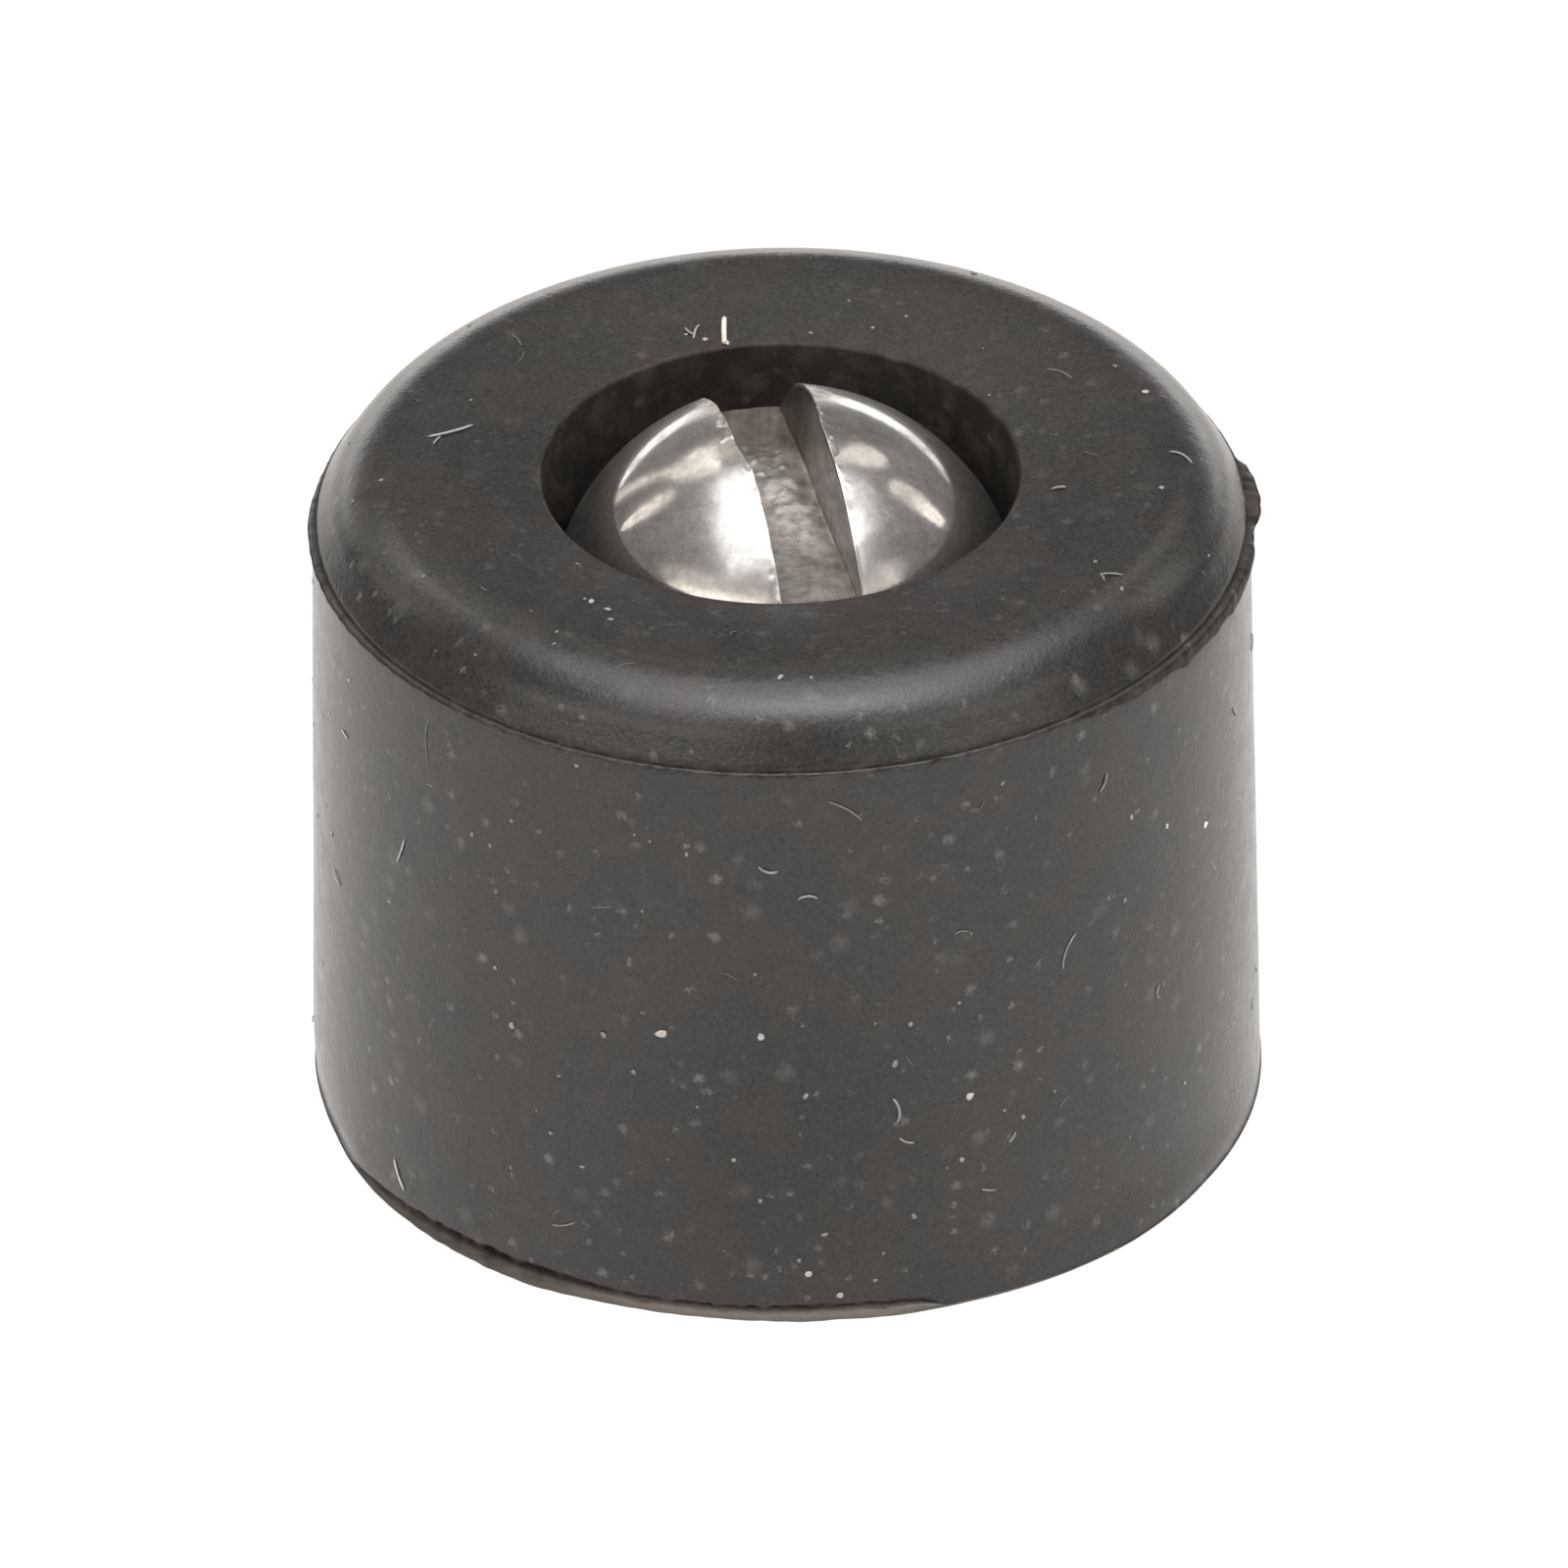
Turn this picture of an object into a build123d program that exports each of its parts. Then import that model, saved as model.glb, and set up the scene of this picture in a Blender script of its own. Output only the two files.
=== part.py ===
from build123d import *
import os
from math import cos, radians, sin, sqrt, tan

# A round rubber foot for bench equipment, with the slotted screw that fixes it.
# The foot stands on its wide mounting face, with the recess for the screw head on top.
# The screw stands loose in the foot: its tip is level with the mounting face,
# and its head is still lifted off its seat, so that the dome shows above the crown.
# Lengths are in millimetres. The origin is the centre of the mounting face, and +Z is up.

# Moulded rubber foot
foot_height = 18.8
base_radius = 12.62
parting_height = 17.0
wall_top_radius = 12.38
crown_edge_radius = 12.29
crown_round_radius = 2.45
crown_round_turn = 59.0
mouth_radius = 6.33
mouth_height = 18.45
mouth_chamfer = 0.10
seat_radius = 6.20
seat_height = 9.5
hole_radius = 3.40
hole_chamfer = 0.25

# Flash left by the mould
parting_flash_radius = 12.50
parting_flash_thickness = 0.12
base_flash_radius = 12.68
base_flash_thickness = 0.14
tongue_reach = 12.70
tongue_radius = 2.40
tongue_angle = 4.0
nib_angle = -88.0
nib_reach = 12.74
nib_half_width = 0.70

# Slotted round-head screw
head_apex_height = 20.06
head_height = 4.38
head_radius = 6.0
head_edge_chamfer = 0.12
shank_radius = 3.16
tip_chamfer = 0.60
neck_chamfer = 0.25
slot_width = 2.16
slot_depth = 2.95
slot_angle = 12.75
slot_shift = -0.14
screw_shift = 0.10

os.makedirs("parts", exist_ok=True)

# The foot is one moulding, turned about Z from its half section.
# The top face sinks in a shallow arc from the crown to the mouth of the recess.
# The crown is a round that turns through crown_round_turn and runs on as a steep flank to the parting line.
# The mould closed at the parting line, and there and round the base it left a thin fin of flash.
crown_turn = radians(crown_round_turn)
round_drop = crown_round_radius * (1 - cos(crown_turn))
round_run = crown_round_radius * sin(crown_turn)
flank_run = (foot_height - parting_height - round_drop) / tan(crown_turn)
crown_start_radius = crown_edge_radius - flank_run - round_run

with BuildPart() as rubber_foot:
    with BuildSketch(Plane.XZ):
        with BuildLine():
            top_dish = TangentArc(
                (crown_start_radius, foot_height),
                (mouth_radius, mouth_height),
                tangent=(-1, 0),
            )
            crown_round = JernArc(top_dish @ 0, (1, 0), crown_round_radius, -crown_round_turn)
            crown_flank = Line(crown_round @ 1, (crown_edge_radius, parting_height))
            outside = Polyline(
                crown_flank @ 1,
                (parting_flash_radius, parting_height),
                (parting_flash_radius, parting_height - parting_flash_thickness),
                (wall_top_radius, parting_height - 2 * parting_flash_thickness),
                (base_radius, 2 * base_flash_thickness),
                (base_flash_radius, base_flash_thickness),
                (base_flash_radius, 0),
                (hole_radius, 0),
            )
            inside = Polyline(
                outside @ 1,
                (hole_radius, seat_height),
                (seat_radius, seat_height),
                top_dish @ 1,
            )
        make_face()
    revolve(axis=Axis.Z)

    circles = rubber_foot.edges().filter_by(GeomType.CIRCLE)
    mouth_circle = circles.filter_by_position(Axis.Z, mouth_height - 0.01, mouth_height + 0.01)
    base_circles = circles.group_by(Axis.Z)[0]
    chamfer(mouth_circle, length=mouth_chamfer)
    chamfer(base_circles.sort_by(SortBy.RADIUS)[0], length=hole_chamfer)

    # On one side the parting flash is a wider tongue, where the trimming missed it.
    tongue_centre = (tongue_reach - tongue_radius) * Vector(1, 0).rotate(Axis.Z, tongue_angle)
    with BuildSketch(Plane.XY.offset(parting_height - parting_flash_thickness)):
        with Locations(tongue_centre):
            Circle(tongue_radius)
    extrude(amount=parting_flash_thickness)

    # A small nib of base flash points forwards.
    with BuildSketch(Plane.XY):
        with Locations(Rotation(0, 0, nib_angle)):
            Polygon(
                (base_radius - nib_half_width, -nib_half_width),
                (nib_reach, 0),
                (base_radius - nib_half_width, nib_half_width),
                align=None,
            )
    extrude(amount=base_flash_thickness)

rubber_foot.part.label = "rubber_foot"
export_step(rubber_foot.part, "parts/rubber_foot.step")

# The head is a slice of a sphere on a flat underside, and the slot is sawn straight across it.
# The thread is left off here: the shank has the thread's outer size.
head_seat_height = head_apex_height - head_height
dome_radius = (head_radius**2 + head_height**2) / (2 * head_height)
dome_centre_height = head_apex_height - dome_radius
screw_axis = Axis((screw_shift, 0, 0), (0, 0, 1))
screw_section = Plane(origin=(screw_shift, 0, 0), x_dir=(1, 0, 0), z_dir=(0, -1, 0))
dome_waist = (dome_radius / sqrt(2), dome_centre_height + dome_radius / sqrt(2))

with BuildPart() as slotted_screw:
    with BuildSketch(screw_section):
        with BuildLine():
            shank = Polyline(
                (0, head_apex_height),
                (0, 0),
                (shank_radius - tip_chamfer, 0),
                (shank_radius, tip_chamfer),
                (shank_radius, head_seat_height),
                (head_radius, head_seat_height),
            )
            ThreePointArc(shank @ 1, dome_waist, shank @ 0)
        make_face()
    revolve(axis=screw_axis)

    seat_circles = slotted_screw.edges().filter_by(GeomType.CIRCLE)
    seat_circles = seat_circles.filter_by_position(Axis.Z, head_seat_height - 0.01, head_seat_height + 0.01)
    neck_circle, head_circle = seat_circles.sort_by(SortBy.RADIUS)
    chamfer(neck_circle, length=neck_chamfer)
    chamfer(head_circle, length=head_edge_chamfer)

    slot_plane = Plane(origin=(screw_shift, 0, head_apex_height - slot_depth)).rotated((0, 0, slot_angle))
    with BuildSketch(slot_plane):
        with Locations((slot_shift, 0)):
            Rectangle(slot_width, 2.5 * head_radius)
    extrude(amount=2 * slot_depth, mode=Mode.SUBTRACT)

slotted_screw.part.label = "slotted_screw"
export_step(slotted_screw.part, "parts/slotted_screw.step")
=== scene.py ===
import math

import bmesh
import bpy
import numpy as np
from mathutils import Matrix, Vector


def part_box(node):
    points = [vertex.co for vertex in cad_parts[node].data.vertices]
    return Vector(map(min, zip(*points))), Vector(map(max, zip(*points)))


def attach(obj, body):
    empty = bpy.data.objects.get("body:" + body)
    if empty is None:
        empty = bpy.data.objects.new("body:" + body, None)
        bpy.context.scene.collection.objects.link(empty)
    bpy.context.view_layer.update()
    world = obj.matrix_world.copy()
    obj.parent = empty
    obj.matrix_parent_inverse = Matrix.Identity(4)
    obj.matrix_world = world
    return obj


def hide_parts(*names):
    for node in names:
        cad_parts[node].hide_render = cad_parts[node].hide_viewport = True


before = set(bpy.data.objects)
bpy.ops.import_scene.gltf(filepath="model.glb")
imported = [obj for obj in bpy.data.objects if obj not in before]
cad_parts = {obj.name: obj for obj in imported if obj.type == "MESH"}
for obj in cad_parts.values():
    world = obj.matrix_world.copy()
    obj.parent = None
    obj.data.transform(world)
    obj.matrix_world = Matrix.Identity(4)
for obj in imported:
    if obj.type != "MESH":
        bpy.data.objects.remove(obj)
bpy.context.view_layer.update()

# A moulded black rubber foot with a slotted round-head screw standing loose in its recess.
# Shapes are worked out in millimetres and scaled to metres when they become meshes.
MM = 0.001

FOOT_NODE = "rubber_foot"
SCREW_NODE = "slotted_screw"

foot_high = np.array(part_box(FOOT_NODE)[1]) / MM
screw_low, screw_high = (np.array(corner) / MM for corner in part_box(SCREW_NODE))

# Foot section, radii and heights
foot_height = foot_high[2]
parting_height = 17.0
base_radius = 12.62
wall_top_radius = 12.38
crown_edge_radius = 12.29
crown_round_radius = 2.45
crown_round_turn = math.radians(59.0)
mouth_radius = 6.31
mouth_height = 18.45
mouth_rounding = 0.12
seat_radius = 6.20
seat_height = 9.5
hole_radius = 3.40
hole_edge_rounding = 0.25
parting_flash_thickness = 0.12

# The crown's round runs on as a steep flank, and the top face dishes from its start down to the mouth
crown_round_drop = crown_round_radius * (1 - math.cos(crown_round_turn))
crown_flank_run = (foot_height - parting_height - crown_round_drop) / math.tan(crown_round_turn)
flank_top_radius = crown_edge_radius - crown_flank_run
crown_start_radius = flank_top_radius - crown_round_radius * math.sin(crown_round_turn)
dish_end_radius = mouth_radius + mouth_rounding

# Slotted screw
screw_centre = (screw_low + screw_high) / 2
head_radius = 6.0
head_apex_height = 20.06
head_height = 4.38
head_seat_height = head_apex_height - head_height
dome_radius = (head_radius**2 + head_height**2) / (2 * head_height)
dome_centre_height = head_apex_height - dome_radius
slot_width = 2.16
slot_depth = 2.95
slot_angle = math.radians(12.75)
slot_shift = -0.14
slot_edge_rounding = 0.035
shank_radius = 3.16
thread_pitch = 25.4 / 20
thread_depth = 0.61 * thread_pitch
tip_chamfer = 0.60


# Numbers that vary smoothly

def smooth(edge_a, edge_b, x):
    """Smooth step: 0 before edge_a, 1 after edge_b, 3t^2 - 2t^3 between."""
    t = np.clip((x - edge_a) / (edge_b - edge_a), 0, 1)
    return t * t * (3 - 2 * t)


def hump(centre, half_width, x):
    """A rounded bump of height 1 at centre that falls to 0 at half_width on either side: cosine bell."""
    t = np.clip(np.abs(x - centre) / half_width, 0, 1)
    return 0.5 + 0.5 * np.cos(np.pi * t)


def turn_from(theta, centre):
    """Signed angle from centre to theta, in degrees, wrapped to plus or minus 180."""
    return (np.degrees(theta) - centre + 180) % 360 - 180


def round_ripple(theta, seed, lowest, highest, count):
    """Seamless ripple round a circle, about -1 to 1: added cosines of whole wave numbers, random phases."""
    draw = np.random.default_rng(seed)
    waves = draw.integers(lowest, highest, count)
    phases = draw.uniform(0, 2 * np.pi, count)
    sizes = draw.uniform(0.4, 1.0, count)
    parts = sizes[:, None] * np.cos(waves[:, None] * theta.ravel()[None, :] + phases[:, None])
    return (parts.sum(0) / np.sqrt((sizes**2).sum())).reshape(theta.shape)


def ripple(x, y, seed, wavelength, count=24):
    """Even random ripple over a plane: a sum of cosines whose wave vectors point all ways, about -1 to 1."""
    draw = np.random.default_rng(seed)
    angles = draw.uniform(0, 2 * np.pi, count)
    rates = 2 * np.pi / (wavelength * draw.uniform(0.6, 1.6, count))
    phases = draw.uniform(0, 2 * np.pi, count)
    total = np.zeros(np.shape(x))
    for angle, rate, phase in zip(angles, rates, phases):
        total = total + np.cos(rate * (np.cos(angle) * x + np.sin(angle) * y) + phase)
    return total / math.sqrt(count / 2)


# Meshes from grids

def grid_faces(rows, columns, wrap_rows, wrap_columns):
    """Quads of a grid of points numbered row by row, joined round the ends where wrap is true."""
    row = np.arange(rows if wrap_rows else rows - 1)
    column = np.arange(columns if wrap_columns else columns - 1)
    r0, c0 = np.meshgrid(row, column, indexing="ij")
    r1, c1 = (r0 + 1) % rows, (c0 + 1) % columns
    corners = [r0 * columns + c0, r1 * columns + c0, r1 * columns + c1, r0 * columns + c1]
    return np.stack(corners, -1).reshape(-1, 4)


def outward(points, faces):
    """The quads, turned round if the volume that they enclose comes out negative."""
    a, b, c, d = (points[faces[:, k]] for k in range(4))
    volume = (a * np.cross(b, c)).sum() + (a * np.cross(c, d)).sum()
    return faces if volume > 0 else faces[:, ::-1]


def make_piece(name, points, faces, material, lid=None, values=None):
    """A Blender object from points in millimetres and quads, with one flat many-sided lid if it is given.

    Values are numbers for each point that its material reads. Points that coincide are welded at the end.
    """
    faces = np.ascontiguousarray(outward(points, faces)).astype(np.int32)
    loops = faces.ravel() if lid is None else np.concatenate([faces.ravel(), np.asarray(lid, np.int32)])
    starts = np.arange(0, len(loops) if lid is None else faces.size + 1, 4, dtype=np.int32)
    mesh = bpy.data.meshes.new(name)
    mesh.vertices.add(len(points))
    mesh.vertices.foreach_set("co", (points * MM).astype(np.float32).ravel())
    mesh.loops.add(len(loops))
    mesh.loops.foreach_set("vertex_index", loops)
    mesh.polygons.add(len(starts))
    mesh.polygons.foreach_set("loop_start", starts)
    mesh.polygons.foreach_set("use_smooth", np.full(len(starts), True))
    mesh.update(calc_edges=True)
    for key, numbers in (values or {}).items():
        attribute = mesh.attributes.new(key, "FLOAT", "POINT")
        attribute.data.foreach_set("value", np.ascontiguousarray(numbers, np.float32).ravel())
    net = bmesh.new()
    net.from_mesh(mesh)
    bmesh.ops.remove_doubles(net, verts=net.verts, dist=1e-7)
    bmesh.ops.dissolve_degenerate(net, edges=net.edges, dist=1e-8)
    net.to_mesh(mesh)
    net.free()
    mesh.validate()
    piece = bpy.data.objects.new(name, mesh)
    bpy.context.scene.collection.objects.link(piece)
    mesh.materials.append(material)
    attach(piece, "root")
    return piece


# Materials

def node_adder(tree):
    """A function that adds a node to the tree and sets its inputs, from values or other nodes' outputs."""
    def add(kind, inputs=None, **settings):
        node = tree.nodes.new(kind)
        for key, value in settings.items():
            setattr(node, key, value)
        for key, value in (inputs or {}).items():
            if isinstance(value, bpy.types.NodeSocket):
                tree.links.new(value, node.inputs[key])
            else:
                node.inputs[key].default_value = value
        return node

    return add


def new_material(name):
    """A new node material: itself, its tree, its shader, and the function that adds nodes to it."""
    material = bpy.data.materials.new(name)
    material.use_nodes = True
    tree = material.node_tree
    return material, tree, tree.nodes["Principled BSDF"], node_adder(tree)


def ranged(add, value, low, high, to_low=0.0, to_high=1.0):
    """Maps value from low..high to to_low..to_high, held at the ends."""
    node = add("ShaderNodeMapRange", {0: value, 1: low, 2: high, 3: to_low, 4: to_high})
    return node.outputs[0]


def blend_colour(add, factor, first, second):
    """Mixes two colours, or a colour and an output, by a factor."""
    node = add("ShaderNodeMix", {0: factor, 6: first, 7: second}, data_type="RGBA")
    return node.outputs[2]


def arithmetic(add, operation, first, second):
    """One arithmetic step on two numbers."""
    return add("ShaderNodeMath", {0: first, 1: second}, operation=operation).outputs[0]


def sum_of(add, first, second):
    """The sum of two numbers."""
    return arithmetic(add, "ADD", first, second)


def product(add, first, second):
    """The product of two numbers."""
    return arithmetic(add, "MULTIPLY", first, second)


def vectors(add, operation, first, second):
    """One step on two vectors: the node's vector output."""
    return add("ShaderNodeVectorMath", {0: first, 1: second}, operation=operation).outputs[0]


def connect(tree, node, sources):
    """Links the outputs to the node's inputs of the given names."""
    for name, output in sources.items():
        tree.links.new(output, node.inputs[name])


def noise(add, place, scale, detail, roughness=0.5):
    """A cloudy pattern over the given places, 0 to 1."""
    settings = {"Vector": place, "Scale": scale, "Detail": detail, "Roughness": roughness}
    return add("ShaderNodeTexNoise", settings).outputs[0]


def rubber_material():
    """Black rubber: a warm black with faint cloudy bloom, fine pale dust, duller, darker cut flash, and a
    pale painted glow of the white table along the rim of the base.
    """
    material, tree, shader, add = new_material("moulded_black_rubber")
    place = add("ShaderNodeTexCoord").outputs["Object"]
    cloud = noise(add, place, 330.0, 3.0, 0.55)
    bloom = noise(add, place, 1300.0, 5.0, 0.7)
    flash = add("ShaderNodeAttribute", attribute_name="flash").outputs["Fac"]
    neutral = (0.0165, 0.0182, 0.0172, 1)
    warm = (0.0262, 0.0190, 0.0176, 1)
    dusty = (0.046, 0.043, 0.041, 1)
    cut = (0.022, 0.018, 0.014, 1)
    cut_pale = (0.080, 0.061, 0.053, 1)
    painted_table_glow = (0.40, 0.35, 0.31, 1)
    colour = blend_colour(add, ranged(add, cloud, 0.42, 0.66), neutral, warm)
    colour = blend_colour(add, ranged(add, bloom, 0.50, 0.78, 0.0, 0.6), colour, dusty)
    grain = noise(add, place, 8200.0, 3.0, 0.65)
    colour = blend_colour(add, ranged(add, grain, 0.36, 0.70, 0.0, 0.85), colour, dusty)
    # Fine dust: a soft, uneven dot in some cells of three Voronoi patterns, and less of it on the top face
    shaken = vectors(add, "MULTIPLY", grain.node.outputs["Color"], (0.00045,) * 3)
    uneven = vectors(add, "ADD", place, shaken)
    parts = add("ShaderNodeSeparateXYZ", {0: place})
    level = parts.outputs[2]
    amount = ranged(add, level, 0.0176, 0.0186, 1.0, 0.35)
    dust = (0.24, 0.23, 0.22, 1)
    layers = ((900.0, 0.60, 0.22, 0.30), (1500.0, 0.655, 0.52, 0.31), (2600.0, 0.705, 0.56, 0.31))
    for scale, keep, tone, size in layers:
        cells = add("ShaderNodeTexVoronoi", {"Vector": uneven, "Scale": scale, "Randomness": 1.0})
        dot = ranged(add, cells.outputs["Distance"], 0.25 * size, size, tone, 0.0)
        chosen = ranged(add, cells.outputs["Color"], keep, keep + 0.14)
        share = product(add, product(add, dot, chosen), amount)
        colour = blend_colour(add, share, colour, dust)
    # Cut flash is mottled; along the rim of the base a pale painted glow of the white table lies over it,
    # more so in front than on the left
    torn = blend_colour(add, ranged(add, bloom, 0.45, 0.72), cut, cut_pale)
    low = ranged(add, level, 0.00018, 0.00030, 1.0, 0.0)
    to_right = ranged(add, parts.outputs[0], -0.008, -0.003, 0.16, 0.50)
    torn = blend_colour(add, product(add, low, to_right), torn, painted_table_glow)
    # The flash share also covers the recess wall, where its paler tone is painted light
    colour = blend_colour(add, flash, colour, torn)
    rough = ranged(add, bloom, 0.3, 0.7, 0.17, 0.28)
    rough = sum_of(add, rough, product(add, flash, 0.38))
    gloss = ranged(add, flash, 0.5, 1.0, 0.5, 0.15)
    height = sum_of(add, grain, product(add, bloom, 2.0))
    bump = add("ShaderNodeBump", {"Height": height, "Strength": 0.30, "Distance": 0.00003}).outputs[0]
    looks = {"Base Color": colour, "Roughness": rough, "Specular IOR Level": gloss, "Normal": bump}
    connect(tree, shader, looks)
    return material


def steel_material():
    """Bright plated steel: sharp reflections under a fine tumbled haze, grey smudges and a dull sawn slot
    whose darker parts are partly painted shade.
    """
    material, tree, shader, add = new_material("bright_plated_steel")
    place = add("ShaderNodeTexCoord").outputs["Object"]
    worn = add("ShaderNodeAttribute", attribute_name="worn").outputs["Fac"]
    sawn_and_shaded = add("ShaderNodeAttribute", attribute_name="sawn_and_shaded").outputs["Fac"]
    smudge = noise(add, place, 620.0, 4.0, 0.62)
    frost = noise(add, place, 150000.0, 0.0)
    turned = {"Vector": place, "Rotation": (0, 0, -slot_angle), "Scale": (1, 0.08, 1)}
    along_slot = add("ShaderNodeMapping", turned).outputs[0]
    saw_lines = noise(add, along_slot, 7000.0, 3.0)
    bright = (0.59, 0.575, 0.555, 1)
    grey = (0.32, 0.307, 0.295, 1)
    scuffed = (0.66, 0.615, 0.59, 1)
    scraped = (0.34, 0.31, 0.285, 1)
    wall = (0.14, 0.115, 0.098, 1)
    colour = blend_colour(add, ranged(add, smudge, 0.42, 0.66, 0.0, 0.85), bright, grey)
    scuffs = noise(add, place, 3000.0, 3.0, 0.6)
    mottled = blend_colour(add, ranged(add, scuffs, 0.38, 0.64), scuffed, scraped)
    colour = blend_colour(add, ranged(add, scuffs, 0.48, 0.68, 0.0, 0.35), colour, grey)
    colour = blend_colour(add, worn, colour, mottled)
    lines = ranged(add, saw_lines, 0.35, 0.65, 0.80, 1.0)
    # The slot share darkens towards the dull wall tone: partly the sawn metal, partly painted shade
    colour = blend_colour(add, product(add, sawn_and_shaded, lines), colour, wall)
    metal = ranged(add, worn, 0.66, 1.0, 1.0, 0.65)
    rough = ranged(add, frost, 0.55, 0.60, 0.07, 0.50)
    hazy = ranged(add, smudge, 0.44, 0.70, 0.0, 0.14)
    rough = sum_of(add, rough, hazy)
    rough = sum_of(add, rough, product(add, worn, 0.42))
    rough = sum_of(add, rough, product(add, sawn_and_shaded, 0.25))
    pits = noise(add, place, 2600.0, 3.0, 0.6)
    lines_height = product(add, product(add, saw_lines, 0.35), worn)
    height = sum_of(add, product(add, pits, 0.35), lines_height)
    bump = add("ShaderNodeBump", {"Height": height, "Strength": 0.25, "Distance": 0.00003}).outputs[0]
    looks = {"Base Color": colour, "Metallic": metal, "Roughness": rough, "Normal": bump}
    connect(tree, shader, looks)
    return material


def dust_material():
    """Pale dust and lint: each grain keeps the tone that its points carry, a little mottled."""
    material, tree, shader, add = new_material("pale_dust")
    place = add("ShaderNodeTexCoord").outputs["Object"]
    tone = add("ShaderNodeAttribute", attribute_name="tone").outputs["Fac"]
    warmth = noise(add, place, 350.0, 2.0)
    mottle = noise(add, place, 9000.0, 2.0)
    cool_pale = (0.86, 0.90, 0.92, 1)
    warm_pale = (0.95, 0.84, 0.76, 1)
    dim = (0.09, 0.085, 0.08, 1)
    pale = blend_colour(add, ranged(add, warmth, 0.4, 0.6), cool_pale, warm_pale)
    shade = product(add, tone, ranged(add, mottle, 0.3, 0.7, 0.7, 1.1))
    connect(tree, shader, {"Base Color": blend_colour(add, shade, dim, pale)})
    shader.inputs["Roughness"].default_value = 0.8
    return material


# The rubber foot

AROUND_FOOT = 656


def round_table(theta, places):
    """A value that runs straight from one (angle in degrees, value) place to the next, all round the foot."""
    angles, values = zip(*places)
    return np.interp(turn_from(theta, 0), angles, values, period=360)


def parting_flash(theta):
    """Tip radius and lower edge of the fin at the parting line, as functions of the angle round the foot.

    It is trimmed close at the back, and thin in front. On the right it widens to a tongue, in front of which
    a flap of it hangs down over the wall.
    """
    tip = round_table(theta, [
        (-165, 12.49), (-150, 12.46), (-135, 12.43), (-115, 12.40), (-90, 12.385), (-65, 12.39),
        (-45, 12.43), (-30, 12.48), (-20, 12.52), (-12, 12.56), (-8, 12.57), (-3.2, 12.49),
        (-1.8, 12.50), (-0.6, 12.60), (1.5, 12.67), (4, 12.69), (8, 12.66), (11.5, 12.56),
        (13.5, 12.38), (20, 12.33), (90, 12.33), (160, 12.33), (168, 12.38), (174, 12.46), (180, 12.50),
    ])
    hang = round_table(theta, [
        (-180, 0), (-58, 0), (-53, 0.04), (-48, 0.14), (-42, 0.26), (-37, 0.25), (-32, 0.36),
        (-27, 0.30), (-22, 0.27), (-17, 0.42), (-13, 0.40), (-8, 0.22), (-4, 0.08), (-1, 0),
    ])
    ragged = round_ripple(theta, 3, 25, 160, 40)
    tip = tip + np.where(tip > 12.42, 0.010, 0.020) * ragged * (tip > 12.36)
    low = parting_height - parting_flash_thickness - hang * (1 + 0.18 * round_ripple(theta, 5, 12, 90, 24))
    return tip, low - 0.008 * round_ripple(theta, 6, 20, 140, 30)


def base_flash(theta):
    """Tip radius and upper edge of the flash round the base, and how much of it is a flange, by the angle.

    From the left to the front it is a ragged flange with a groove over it, with a small pointed nib in front.
    """
    tip = round_table(theta, [
        (-180, 12.58), (-170, 12.53), (-163, 12.54), (-157, 12.62), (-149, 12.70), (-140, 12.75),
        (-134, 12.78), (-122, 12.86), (-116, 12.76), (-111, 12.71), (-100, 12.68), (-92, 12.72),
        (-84, 12.72), (-78, 12.80), (-68, 12.79), (-57, 12.84), (-45, 12.87), (-38, 12.82),
        (-30, 12.74), (-13, 12.71), (0, 12.65), (60, 12.64), (110, 12.66), (160, 12.62),
    ])
    top = round_table(theta, [
        (-162, 0.06), (-150, 0.11), (-144, 0.13), (-141, 0.15), (-135, 0.20), (-130, 0.24),
        (-125, 0.21), (-119.5, 0.23), (-114.6, 0.20), (-109, 0.15), (-101.6, 0.17), (-96.8, 0.15),
        (-90, 0.16), (-86, 0.19), (-80, 0.14), (-75, 0.11), (-70, 0.07), (60, 0.07), (110, 0.15),
        (150, 0.07),
    ])
    nib = np.clip(1 - np.abs(turn_from(theta, -88)) / 2.6, 0, 1)
    ragged = round_ripple(theta, 8, 18, 140, 40)
    flange = np.clip((top - 0.08) / 0.06, 0, 1)
    return tip + 0.014 * ragged * flange + 0.05 * nib, top + 0.034 * ragged * flange, flange


def dish_height(radius):
    """Height of the top face: level where the crown's round ends, then a cosine curve down to the mouth."""
    share = np.clip((crown_start_radius - radius) / (crown_start_radius - dish_end_radius), 0, 1)
    return foot_height - (foot_height - mouth_height) * (1 - np.cos(0.5 * np.pi * share))


class HalfSection:
    """The foot's closed half section at every angle round it, put together knot by knot.

    A knot is a radius, a height and a share of cut flash, each one number or one for every angle.
    """

    def __init__(self, theta):
        self.theta = theta
        self.knots = []

    def put(self, radius, height, flash=0.0):
        knot = (radius, height, flash)
        self.knots.append([np.broadcast_to(np.asarray(v, float), self.theta.shape) for v in knot])

    def run(self, start, end, count, flash=0.0):
        """Even knots on a straight line from start, which is one of them, to just before end."""
        for t in np.linspace(0, 1, count, endpoint=False):
            self.put(start[0] + t * (end[0] - start[0]), start[1] + t * (end[1] - start[1]), flash)

    def arc(self, centre, radius, first, last, count, flash=0.0):
        """Knots on an arc: centre + radius * (cos a, sin a), for a from first to last."""
        for a in np.linspace(first, last, count):
            self.put(centre[0] + radius * np.cos(a), centre[1] + radius * np.sin(a), flash)

    def columns(self):
        """All radii, heights and flash shares, each with one row for every angle."""
        return [np.stack([knot[k] for knot in self.knots], -1) for k in range(3)]


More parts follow.
